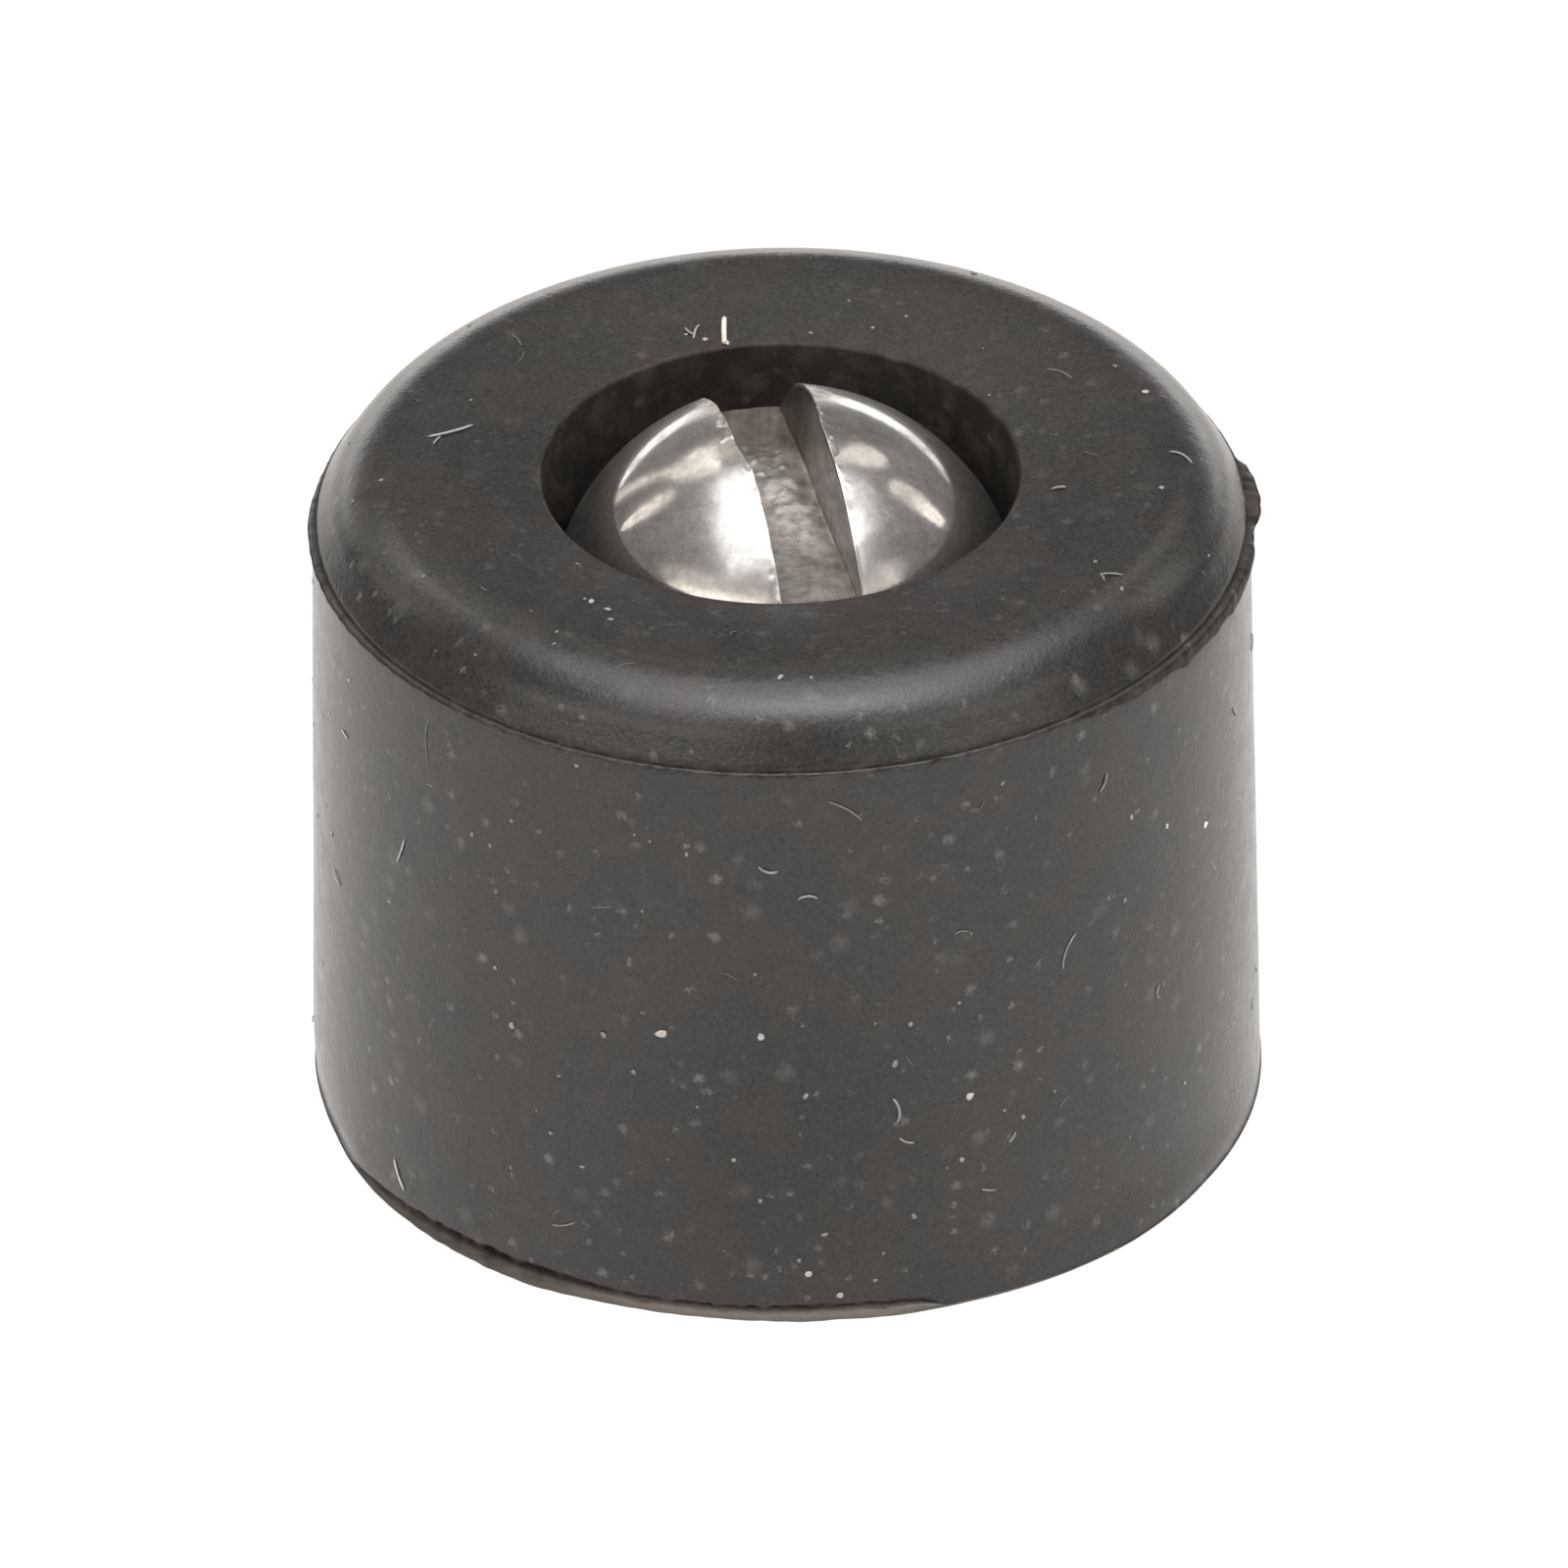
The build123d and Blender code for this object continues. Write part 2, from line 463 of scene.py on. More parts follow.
def add_base(section):
    """The base face from the hole's rounded edge outwards, its flash, and the groove over the flange.

    It gives back the height at which the wall starts, and how far the wall flares out to plain flash there.
    """
    edge = hole_edge_rounding
    section.arc((hole_radius + edge, edge), edge, -math.pi, -math.pi / 2, 6)
    tip, top, flange = base_flash(section.theta)
    section.run((hole_radius + edge + 0.4, 0), (base_radius - 0.4, 0), 8)
    section.put(base_radius - 0.15, 0)
    for back, height, cut in (
        (0.03, 0, 0.6), (0.004, 0.012, 0.7), (0, 0.04, 0.7), (0.005, 0.5 * top + 0.01, 0.30 + 0.5 * flange),
        (0.02, top - 0.012, 0.8 * flange), (0.035, top, 0.8 * flange),
    ):
        section.put(tip - back, height, cut)
    # The groove is broken here and there, and where there is no flange the wall flares out to the flash
    broken = np.clip(0.55 + 0.7 * round_ripple(section.theta, 11, 30, 220, 40), 0, 1.1)
    groove = np.minimum(base_radius, tip) - 0.05 - 0.11 * flange * broken
    plain = 1 - np.clip(flange / 0.3, 0, 1)
    flare = plain * (tip - 0.03 - base_radius)
    bottom = top + 0.04 + 0.12 * flange
    section.put(groove + plain * (tip - 0.033 - groove), top + 0.01, flange)
    section.put(groove + plain * (tip - 0.036 - groove), bottom, (0.4 + 0.5 * broken) * flange)
    section.put(base_radius - 0.015 + flare, top + 0.08 + 0.20 * flange, 0.5 * flange)
    return top + 0.12 + 0.23 * flange, flare


def add_wall(section, low, high, flare):
    """The wall from low to high: a straight taper with a very slight unevenness, flared at its foot."""
    for t in np.linspace(0, 1, 34):
        height = low + t * (high - low)
        taper = base_radius + (wall_top_radius - base_radius) * height / parting_height
        x, y = base_radius * np.cos(section.theta), base_radius * np.sin(section.theta)
        wave = 0.008 * ripple(x, height + y, 21, 9.0)
        section.put(taper + wave * math.sin(math.pi * t) + flare * np.exp(-((height / 0.9) ** 2)), height)


def add_parting_flash(section, tip, low):
    """The fin at the parting line: a notch under it, a bead where it reaches far, and a crease over it."""
    section.put(wall_top_radius, low - 0.05)
    section.put(wall_top_radius - 0.005, low - 0.015, 0.3)
    lip = np.maximum(tip, wall_top_radius + 0.004)
    hangs = np.clip((parting_height - parting_flash_thickness - low) / 0.1, 0, 1)
    section.put(np.maximum(lip - 0.05, wall_top_radius), low, 0.4 + 0.5 * hangs)
    section.put(lip - 0.012, low + 0.008, 0.2 + 0.8 * hangs)
    section.put(lip, low + 0.03, 0.1 + 0.9 * hangs)
    bead = np.maximum(tip, crown_edge_radius + 0.03) - crown_edge_radius - 0.02
    thick = np.minimum(0.15, 0.05 + 0.8 * bead)
    torn = round_ripple(section.theta, 10, 30, 200, 40)
    for t in np.linspace(0, 1, 6):
        lean = 0.5 * math.pi * t
        height = parting_height - 0.01 - thick * (1 - math.cos(0.5 * math.pi - lean))
        cut = np.clip(0.45 + 0.35 * torn + 0.5 * hangs * (t < 0.5) + 0.4 * smooth(0.2, 0.3, bead), 0, 1)
        section.put(crown_edge_radius + 0.02 + bead * math.cos(lean), height, cut)
    crease = 0.030 * np.clip(0.5 + 0.5 * round_ripple(section.theta, 9, 15, 120, 30), 0, 1.2)
    section.put(crown_edge_radius + 0.004 - crease, parting_height - 0.03, 0.9)
    section.put(crown_edge_radius - 0.004 - crease, parting_height, 0.9)
    section.put(crown_edge_radius - 0.02, parting_height + 0.06, 0.8)


def add_crown(section):
    """The crown inwards: its steep flank, its round, then the dished top with a very slight unevenness."""
    flank_foot = (crown_edge_radius - 0.055, parting_height + 0.13)
    section.run(flank_foot, (flank_top_radius, foot_height - crown_round_drop), 5)
    centre = (crown_start_radius, foot_height - crown_round_radius)
    section.arc(centre, crown_round_radius, math.pi / 2 - crown_round_turn, math.pi / 2, 22)
    for t in np.linspace(0.06, 1, 14):
        radius = crown_start_radius + t * (dish_end_radius - crown_start_radius)
        wave = 0.010 * ripple(radius * np.cos(section.theta), radius * np.sin(section.theta), 22, 6.0)
        section.put(radius, dish_height(radius) + (wave - 0.010) * math.sin(math.pi * t))


def add_recess(section):
    """The recess downwards: a barely rounded mouth, a drafted wall painted paler as light, a flat seat, then
    the hole.
    """
    mouth_centre = (dish_end_radius, mouth_height - mouth_rounding)
    section.arc(mouth_centre, mouth_rounding, math.pi / 2 + 0.15, math.pi, 7, 0.85)
    wall_top = (mouth_radius - 0.004, mouth_height - mouth_rounding - 0.3)
    # The wall takes 0.6 of the paler cut flash tone: painted light, standing in for light that barely reaches
    # into the recess
    section.run(wall_top, (seat_radius, seat_height + 0.15), 12, 0.60)
    for back, rise in ((0, 0.10), (0.03, 0.03), (0.10, 0)):
        section.put(seat_radius - back, seat_height + rise)
    section.run((seat_radius - 0.4, seat_height), (hole_radius + 0.2, seat_height), 4)
    for back, fall in ((0.06, 0), (0.01, 0.01), (0, 0.06)):
        section.put(hole_radius + back, seat_height - fall)
    section.run((hole_radius, seat_height - 0.5), (hole_radius, hole_edge_rounding + 0.1), 6)


def foot_section(theta):
    """The foot's half section: from the hole over the base, up the wall, over the crown, down the recess."""
    section = HalfSection(theta)
    wall_low, flare = add_base(section)
    fin_tip, fin_low = parting_flash(theta)
    add_wall(section, wall_low, fin_low - 0.10, flare)
    add_parting_flash(section, fin_tip, fin_low)
    add_crown(section)
    add_recess(section)
    return section.columns()


def rubber_foot(material):
    """The foot is its half section turned about Z: x = r cos a, y = r sin a, joined round both ways."""
    theta = np.linspace(0, 2 * np.pi, AROUND_FOOT, endpoint=False)
    radius, height, flash = foot_section(theta)
    x = radius * np.cos(theta)[:, None]
    y = radius * np.sin(theta)[:, None]
    points = np.stack([x, y, height], -1).reshape(-1, 3)
    faces = grid_faces(AROUND_FOOT, radius.shape[1], True, True)
    piece = make_piece("foot_moulding", points, faces, material, values={"flash": flash})
    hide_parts(FOOT_NODE)
    return piece


# Dust and lint on the rubber

# The larger grains that show from the front: angle in degrees, height or reach, radius, tone
WALL_GRAINS = [
    (-67.5, 6.33, 0.105, 1.0), (-27.3, 10.94, 0.095, 1.0), (-105.2, 8.72, 0.094, 0.95),
    (-87.7, 1.43, 0.077, 1.0), (-83.9, 0.71, 0.08, 0.8), (-93.1, 8.87, 0.075, 0.93),
    (-125.3, 7.79, 0.08, 0.55), (-53.4, 0.42, 0.073, 0.8), (-74.8, 2.93, 0.075, 0.35),
    (-36.2, 11.99, 0.064, 0.58), (-68.6, 4.41, 0.063, 0.6), (-76.9, 7.78, 0.066, 0.4),
    (-87.8, 7.00, 0.06, 0.5), (-96.5, 4.98, 0.062, 0.43), (-42.9, 13.02, 0.053, 0.58),
    (-101.9, 14.4, 0.055, 0.4), (-85.7, 2.64, 0.055, 0.4), (-60.4, 5.21, 0.051, 0.46),
    (-79.6, 1.08, 0.055, 0.4), (-127.7, 9.41, 0.052, 0.43), (-131.2, 13.26, 0.055, 0.35),
    (-119.8, 4.85, 0.051, 0.4), (-74.9, 8.94, 0.051, 0.4), (-68.7, 9.32, 0.05, 0.4),
    (-125.1, 14.19, 0.051, 0.34), (-115.9, 16.54, 0.044, 0.48), (-93.4, 3.73, 0.048, 0.36),
    (-115.5, 4.06, 0.045, 0.38), (-62.5, 15.76, 0.045, 0.31), (-46.9, 0.3, 0.055, 0.6),
    (-177.0, 15.6, 0.075, 0.9), (-168.0, 12.6, 0.06, 0.6),
]
CROWN_GRAINS = [
    (18.5, 1.15, 0.073, 0.75), (-127.3, 0.54, 0.062, 0.6), (-90.4, 1.22, 0.06, 0.55),
    (-8.4, 1.12, 0.066, 0.35), (-123.1, 0.57, 0.055, 0.45), (-120.8, 0.69, 0.055, 0.4),
    (-151.2, 1.37, 0.054, 0.35), (-85.9, 1.24, 0.048, 0.45), (-176.9, 1.29, 0.051, 0.36),
    (-31.5, 0.95, 0.05, 0.4), (-125.9, 1.1, 0.043, 0.3), (2.2, 1.54, 0.043, 0.3), (106.9, 0.1, 0.07, 0.55),
    (110.5, 0.2, 0.05, 0.5), (102.6, 0.03, 0.075, 1.2),
]
# The fibres that show most: angle, height or reach, 1 on the crown, length, heading, bend, radius, tone
PLACED_FIBRES = [
    (-144.0, 11.43, 0, 1.0, 68, 0.3, 0.02, 0.35), (-144.7, 1.15, 0, 0.95, -60, 0.3, 0.022, 0.6),
    (-76.7, 6.35, 0, 0.85, 95, 1.2, 0.026, 0.5), (-75.6, 5.33, 0, 0.5, -30, 0.9, 0.024, 0.42),
    (-53.7, 9.87, 0, 1.15, 68, -1.0, 0.018, 0.45), (-65.2, 3.26, 0, 0.45, -20, 0.4, 0.022, 0.35),
    (-92.1, 14.05, 0, 0.6, -20, 1.4, 0.026, 0.4), (-87.3, 13.21, 0, 0.6, 5, -1.6, 0.026, 0.42),
    (-61.9, 4.69, 0, 0.35, 50, 0.8, 0.024, 0.4), (-82.5, 15.83, 0, 1.2, -35, -0.7, 0.016, 0.32),
    (-47.6, 14.56, 0, 0.6, 60, 0.8, 0.018, 0.3), (-118.0, 2.1, 0, 0.8, 22, 0.6, 0.017, 0.35),
    (169.3, 0.71, 1, 1.45, 129, 0.9, 0.026, 0.65), (172.6, 0.8, 1, 0.45, 160, 0.2, 0.022, 0.4),
    (102.2, 0.155, 1, 1.1, 77, 0.0, 0.055, 1.35), (108.2, 0.2, 1, 0.6, 55, 0.4, 0.026, 0.5),
    (109.6, 0.22, 1, 0.35, 110, 0.9, 0.024, 0.4), (1.0, 1.3, 1, 0.95, 66, 0.9, 0.02, 0.5),
    (-33.0, 1.2, 1, 0.7, 123, 0.3, 0.02, 0.35), (-34.5, 1.15, 1, 0.4, 60, 0.3, 0.02, 0.32),
    (30.0, 0.63, 1, 0.9, 20, 0.7, 0.014, 0.25), (-9.3, 0.29, 1, 0.4, 100, 0.2, 0.03, 0.32),
]


def wall_place(angle, height, out=0.0):
    """Points on the tapered wall at an angle in degrees and a height, or a little out from it.

    With each point come three ways: sideways round the wall, up it, and out from it.
    """
    t = np.radians(np.asarray(angle, float))
    z = np.asarray(height, float)
    radius = base_radius + (wall_top_radius - base_radius) * z / parting_height + out
    outwards = np.stack([np.cos(t), np.sin(t), 0 * t], -1)
    sideways = np.stack([-np.sin(t), np.cos(t), 0 * t], -1)
    point = np.stack([radius * np.cos(t), radius * np.sin(t), z], -1)
    return point, sideways, np.broadcast_to([0.0, 0.0, 1.0], point.shape), outwards


def crown_place(angle, reach, out=0.0):
    """Points on the crown at an angle in degrees and a reach: 0 to 1 over the top, 1 to 2 down its round.

    With each point come three ways: sideways round the crown, inwards along it, and out from it.
    """
    t = np.radians(np.asarray(angle, float))
    reach = np.asarray(reach, float)
    lean = np.clip(reach - 1, 0, 1) * crown_round_turn
    flat = dish_end_radius + np.clip(reach, 0, 1) * (crown_start_radius - dish_end_radius)
    radius = flat + (crown_round_radius + out) * np.sin(lean)
    height = foot_height - crown_round_radius + (crown_round_radius + out) * np.cos(lean)
    height = np.where(reach < 1, dish_height(radius) + out - 0.010, height)
    outwards = np.stack([np.sin(lean) * np.cos(t), np.sin(lean) * np.sin(t), np.cos(lean)], -1)
    sideways = np.stack([-np.sin(t), np.cos(t), 0 * t], -1)
    point = np.stack([radius * np.cos(t), radius * np.sin(t), height], -1)
    return point, sideways, np.cross(outwards, sideways), outwards


def joined(frames):
    """Several sets of places as one."""
    return [np.concatenate(parts) for parts in zip(*frames)]


def on_flank(angle, start, full):
    """How far an angle is on the left or right flank: a smooth step of its cosine, from start to full."""
    return smooth(start, full, np.abs(np.cos(np.radians(angle))))


def swelled_cube():
    """A cube of 24 quads swelled to a ball of radius 1: its points and its quads."""
    net = bmesh.new()
    bmesh.ops.create_cube(net, size=2.0)
    bmesh.ops.subdivide_edges(net, edges=net.edges, cuts=1, use_grid_fill=True)
    ball = np.array([vertex.co for vertex in net.verts])
    quads = np.array([[vertex.index for vertex in face.verts] for face in net.faces])
    net.free()
    return ball / np.linalg.norm(ball, axis=1)[:, None], quads


def settled_dust(material):
    """Dust grains: each is a cube swelled to a ball of 24 faces, flattened on the surface and made uneven."""
    draw = np.random.default_rng(71)
    on_wall, on_crown = 84, 24
    wall_angles = draw.uniform(-180, 180, on_wall)
    wall_heights = 0.5 + 16.0 * draw.beta(0.95, 1.15, on_wall)
    crown_angles = draw.uniform(-180, 180, on_crown)
    crown_reach = draw.uniform(0.05, 1.9, on_crown)
    frames = [wall_place(wall_angles, wall_heights), crown_place(crown_angles, crown_reach)]
    size = 0.042 * np.exp(draw.normal(0, 0.34, on_wall + on_crown))
    tone = 0.13 + 0.34 * draw.beta(1.1, 3.0, on_wall + on_crown)
    # The larger grains that are seen from the front, placed one by one
    front_wall = np.array(WALL_GRAINS)
    front_crown = np.array(CROWN_GRAINS)
    frames += [wall_place(*front_wall.T[:2]), crown_place(*front_crown.T[:2])]
    size = np.concatenate([size, 1.15 * front_wall[:, 2], 1.15 * front_crown[:, 2]])
    tone = np.concatenate([tone, 0.68 * front_wall[:, 3], 0.68 * front_crown[:, 3]])
    # Grains on the wall are painted paler on its left and right flanks: painted light, standing in for the
    # bright grazing sheen there
    angles = np.concatenate([wall_angles, crown_angles, front_wall[:, 0], front_crown[:, 0]])
    is_wall = np.repeat([1, 0, 1, 0], [on_wall, on_crown, len(front_wall), len(front_crown)])
    tone = tone + 0.55 * is_wall * on_flank(angles, 0.70, 0.95)
    point, sideways, upwards, outwards = joined(frames)

    ball, quads = swelled_cube()
    count = len(size)
    uneven = 1 + draw.uniform(-0.28, 0.28, (count, len(ball)))
    long = draw.uniform(0.8, 1.7, count)
    turn = draw.uniform(0, 2 * np.pi, count)
    flat = draw.uniform(0.20, 0.36, count)
    u = ball[None, :, 0] * (size * long)[:, None] * uneven
    v = ball[None, :, 1] * size[:, None] * uneven
    w = (ball[None, :, 2] * uneven + 0.45) * (size * flat)[:, None]
    side = u * np.cos(turn)[:, None] - v * np.sin(turn)[:, None]
    rise = u * np.sin(turn)[:, None] + v * np.cos(turn)[:, None]
    points = (point[:, None] + side[..., None] * sideways[:, None] + rise[..., None] * upwards[:, None]
              + w[..., None] * outwards[:, None])
    faces = quads[None] + len(ball) * np.arange(count)[:, None, None]
    piece = make_piece(
        "settled_dust", points.reshape(-1, 3), faces.reshape(-1, 4), material,
        values={"tone": np.repeat(tone, len(ball))},
    )
    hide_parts(FOOT_NODE)
    return piece


def stray_fibres(material):
    """Short fibres: each is a thin six-sided tube along an arc on the surface, pointed at both ends."""
    draw = np.random.default_rng(72)
    on_wall, on_crown = 34, 8
    wall_rows = [draw.uniform(-180, 180, on_wall), draw.uniform(1.2, 16.0, on_wall), np.zeros(on_wall)]
    crown_rows = [draw.uniform(-180, 180, on_crown), draw.uniform(0.1, 1.5, on_crown), np.ones(on_crown)]
    count = on_wall + on_crown
    length = 0.55 * np.exp(draw.normal(0, 0.45, count))
    heading = draw.uniform(0, math.pi, count)
    bend = draw.normal(0, 1.1, count)
    thick = 0.015 * np.exp(draw.normal(0, 0.25, count))
    tone = 0.07 + 0.16 * draw.beta(1.3, 3.0, count)
    placed = np.array(PLACED_FIBRES)
    rows = np.concatenate([np.transpose(wall_rows), np.transpose(crown_rows), placed[:, :3]])
    length = np.concatenate([length, placed[:, 3]])
    heading = np.concatenate([heading, np.radians(placed[:, 4])])
    bend = np.concatenate([bend, placed[:, 5]])
    thick = np.concatenate([thick, 1.35 * placed[:, 6]])
    tone = np.concatenate([tone, 0.72 * placed[:, 7]])
    # Fibres on the wall are painted paler on its left and right flanks: painted light, standing in for the
    # bright grazing sheen there
    tone = tone + 0.5 * (rows[:, 2] < 0.5) * on_flank(rows[:, 0], 0.60, 0.92)
    count = len(rows)

    # The middle line: heading turns evenly by bend over the length, and places run round and up the surface
    steps, sides = 12, 6
    t = np.linspace(-0.5, 0.5, steps)
    way = heading[:, None] + bend[:, None] * t[None, :]
    step = length[:, None] / (steps - 1)
    side = np.cumsum(np.cos(way) * step, 1)
    rise = np.cumsum(np.sin(way) * step, 1)
    side, rise = side - side.mean(1, keepdims=True), rise - rise.mean(1, keepdims=True)
    on_top = rows[:, 2:3] > 0.5
    arch = np.sin(np.pi * (t + 0.5))[None, :] * draw.uniform(0, 1, count)[:, None]
    lift = thick[:, None] * (0.6 + 1.6 * arch)
    wall = wall_place(rows[:, 0:1] + np.degrees(side / 12.5), rows[:, 1:2] + rise, lift)
    flat_width = 3.2
    radius = mouth_radius + rows[:, 1:2] * flat_width
    crown = crown_place(rows[:, 0:1] + np.degrees(side / radius), rows[:, 1:2] - rise / flat_width, lift)
    line = np.where(on_top[..., None], crown[0], wall[0])
    outwards = np.where(on_top[..., None], crown[3], wall[3])
    along = np.gradient(line, axis=1)
    along /= np.linalg.norm(along, axis=2, keepdims=True)
    across = np.cross(outwards, along)
    angle = np.linspace(0, 2 * np.pi, sides, endpoint=False)
    girth = thick[:, None] * np.sqrt(np.clip(1 - (2 * t) ** 8, 0, 1))[None, :]
    ring = np.cos(angle)[:, None] * across[:, :, None] + np.sin(angle)[:, None] * outwards[:, :, None]
    points = line[:, :, None] + girth[:, :, None, None] * ring
    faces = grid_faces(steps, sides, False, True)[None] + steps * sides * np.arange(count)[:, None, None]
    piece = make_piece(
        "stray_fibres", points.reshape(-1, 3), faces.reshape(-1, 4), material,
        values={"tone": np.repeat(tone, steps * sides)},
    )
    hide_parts(FOOT_NODE)
    return piece


# The screw

def slot_frame(across, along):
    """Turns places across and along the slot, measured from the head's centre, into X and Y."""
    x = screw_centre[0] + across * math.cos(slot_angle) - along * math.sin(slot_angle)
    y = screw_centre[1] + across * math.sin(slot_angle) + along * math.cos(slot_angle)
    return x, y


def lumps(a, b, seed, count, centre, spread, size, height):
    """Height of a patch of small lumps and pits: added Gaussian bells at random places round the centre."""
    draw = np.random.default_rng(seed)
    total = np.zeros(np.shape(a))
    for k in range(count):
        ca = centre[0] + spread[0] * draw.uniform(-1, 1)
        cb = centre[1] + spread[1] * draw.uniform(-1, 1)
        turn = draw.uniform(0, math.pi)
        wide = size * draw.uniform(0.7, 1.6)
        narrow = wide * draw.uniform(0.35, 0.9)
        u = (a - ca) * math.cos(turn) + (b - cb) * math.sin(turn)
        v = (b - cb) * math.cos(turn) - (a - ca) * math.sin(turn)
        bell = np.exp(-np.minimum((u / wide) ** 2 + (v / narrow) ** 2, 30))
        total = total + height * draw.choice([1.0, -0.8]) * draw.uniform(0.4, 1.0) * bell
    return total


def head_columns(left, right):
    """Places of the grid's columns across the head, and how far each is sunk: 1 on the floor of the slot."""
    side_columns, wall_columns, floor_columns = 64, 15, 46
    fan = np.sin(np.linspace(0, np.pi / 2, side_columns))
    down = np.linspace(0, 1, wall_columns)
    rounding = slot_edge_rounding * np.array([0.7, 0.4, 0.15])
    across = [
        -head_radius + (left - slot_edge_rounding + head_radius) * fan,
        left - rounding,
        left + 0.003 * down,
        np.linspace(left + 0.03, right - 0.03, floor_columns),
        right - 0.003 * down[::-1],
        right + rounding[::-1],
        head_radius - (head_radius - right - slot_edge_rounding) * fan[::-1],
    ]
    none, three = np.zeros(side_columns), np.zeros(3)
    sunk = np.concatenate([none, three, down, np.ones(floor_columns), down[::-1], three, none])
    return np.concatenate(across), sunk


def head_rows(a, left, right, floor_height):
    """Places of each column's points as shares of its half chord, with a row along each end of the floor."""
    end_rows, middle_rows = 12, 190
    floor_reach = dome_radius**2 - (floor_height - dome_centre_height) ** 2
    nearest = np.clip(a, left, right)
    end_share = np.sqrt(floor_reach - nearest**2) / np.sqrt(head_radius**2 - nearest**2)
    outer = np.linspace(0, 1, end_rows, endpoint=False)[None, :]
    middle = np.linspace(-1, 1, middle_rows)[None, :] * end_share[:, None]
    low_end = -1 + outer * (1 - end_share[:, None])
    return np.concatenate([low_end, middle, -low_end[:, ::-1]], 1)


def dome_height(a, b):
    """Height of the dome: zc + sqrt(R^2 - a^2 - b^2)."""
    return dome_centre_height + np.sqrt(np.maximum(dome_radius**2 - a**2 - b**2, 0))


def torn_metal(a, b):
    """Height of the torn metal on the slot's floor: three patches of lumps, and two low swells."""
    torn = lumps(a, b, 32, 70, (0.12, 2.75), (0.42, 0.75), 0.080, 0.036)
    pushed = lumps(a, b, 36, 50, (0.20, 0.75), (0.50, 0.95), 0.110, 0.030)
    torn = torn + pushed + lumps(a, b, 37, 40, (0.0, -1.2), (0.9, 2.6), 0.07, 0.018)
    shoved = np.exp(-(((a - 0.15) / 0.50) ** 2 + ((b - 1.15) / 0.60) ** 2) ** 2)
    smeared = np.exp(-(((a - 0.25) / 0.70) ** 2 + ((b + 0.35) / 1.00) ** 2) ** 2)
    return torn + 0.17 * shoved + 0.13 * smeared


def screw_head(material):
    """The head as one sheet over the disc, closed underneath by one flat lid.

    A column of points is a chord of the disc along the slot, at (a, b) across and along it. Its height is
    the dome's, and inside the slot the lower of that and the slot's floor. Each slot wall is many columns
    at almost the same place.
    """
    left, right = slot_shift - slot_width / 2, slot_shift + slot_width / 2
    floor_height = head_apex_height - slot_depth
    a, sunk = head_columns(left, right)
    half_chord = np.sqrt(np.maximum(head_radius**2 - a**2, 0))
    share = head_rows(a, left, right, floor_height)
    b = share * half_chord[:, None]
    a, sunk = (np.broadcast_to(column[:, None], b.shape) for column in (a, sunk))
    from_edge = np.minimum(np.abs(a - left), np.abs(a - right))

    # The slot's far end is battered wider: both walls bend out there
    bent = 0.20 * smooth(-0.6, 2.2, b) * np.exp(-np.maximum(a - right, 0) / 0.5) * (a > 0)
    bent = bent - 0.20 * smooth(-1.8, -0.5, b) * np.exp(-np.maximum(left - a, 0) / 0.5) * (a < 0)
    slide = np.clip(2 * np.abs(a - slot_shift) / slot_width, 0, 1) ** 3
    a = a + bent * slide * (1 - 0.5 * sunk)
    dome = dome_height(a, b)

    # The sawn floor: faint saw lines along it, a shallow hollow, and torn metal
    torn = torn_metal(a, b)
    floor = floor_height + 0.0012 * ripple(a, 0.10 * b, 31, 0.22, 40) + 0.012 * ripple(a, b, 35, 1.2)
    z = dome + sunk * (np.minimum(dome, floor + torn) - dome)

    # The slot's top edges: rounded and wavy, nicked on the right, with a beaded burr on the left
    outside = sunk == 0
    z = z - outside * 0.4 * slot_edge_rounding * np.clip(1 - from_edge / slot_edge_rounding, 0, 1) ** 2
    z = z + outside * (1 - smooth(0.0, 0.22, from_edge)) * 0.010 * ripple(a, b, 33, 0.6)
    beads = lumps(a, b, 34, 40, (left - 0.20, 1.0), (0.20, 1.20), 0.100, 0.036)
    beads = beads + lumps(a, b, 39, 14, (left - 0.06, -3.0), (0.08, 1.8), 0.07, 0.03)
    z = z + outside * beads
    nicks = lumps(a, b, 38, 16, (right + 0.10, 1.0), (0.14, 3.6), 0.07, 0.018)
    z = z + outside * nicks
    z = np.where((np.abs(share) >= 1) | (half_chord[:, None] < 1e-5), head_seat_height, z)
    z = np.maximum(z, head_seat_height)

    columns, rows = b.shape
    x, y = slot_frame(a, b)
    points = np.stack([x, y, z], -1).reshape(-1, 3)
    number = np.arange(columns * rows).reshape(columns, rows)
    rim = np.concatenate([number[1:-1, 0], number[-1:, 0], number[1:-1, -1][::-1], number[:1, 0]])
    far_edge = hump(2.0, 2.2, b) * np.exp(-((from_edge / 0.60) ** 2))
    worn_slot = sunk * 0.65 + np.abs(torn) * 3 * sunk
    worn = np.clip(worn_slot + outside * (np.abs(beads) * 12 + 0.8 * far_edge), 0, 1)
    # The slot walls are dull sawn metal; painted shade darkens them more towards the far end, along their top
    # edges and where they meet the floor. The floor also darkens towards both ends.
    walls = (sunk > 0) & (sunk < 1)
    far = smooth(0.4, 3.2, b)
    sawn_and_shaded = walls * np.clip(0.15 + 0.80 * far + 0.5 * (sunk < 0.12) * far + 0.4 * (sunk > 0.9), 0, 1)
    sawn_and_shaded = sawn_and_shaded + (sunk == 1) * (0.85 * smooth(1.8, 3.4, b) + 0.35 * smooth(-1.2, -3.0, b))
    piece = make_piece(
        "screw_head", points, grid_faces(columns, rows, False, False), material,
        lid=rim, values={"worn": worn, "sawn_and_shaded": sawn_and_shaded},
    )
    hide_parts(SCREW_NODE)
    return piece


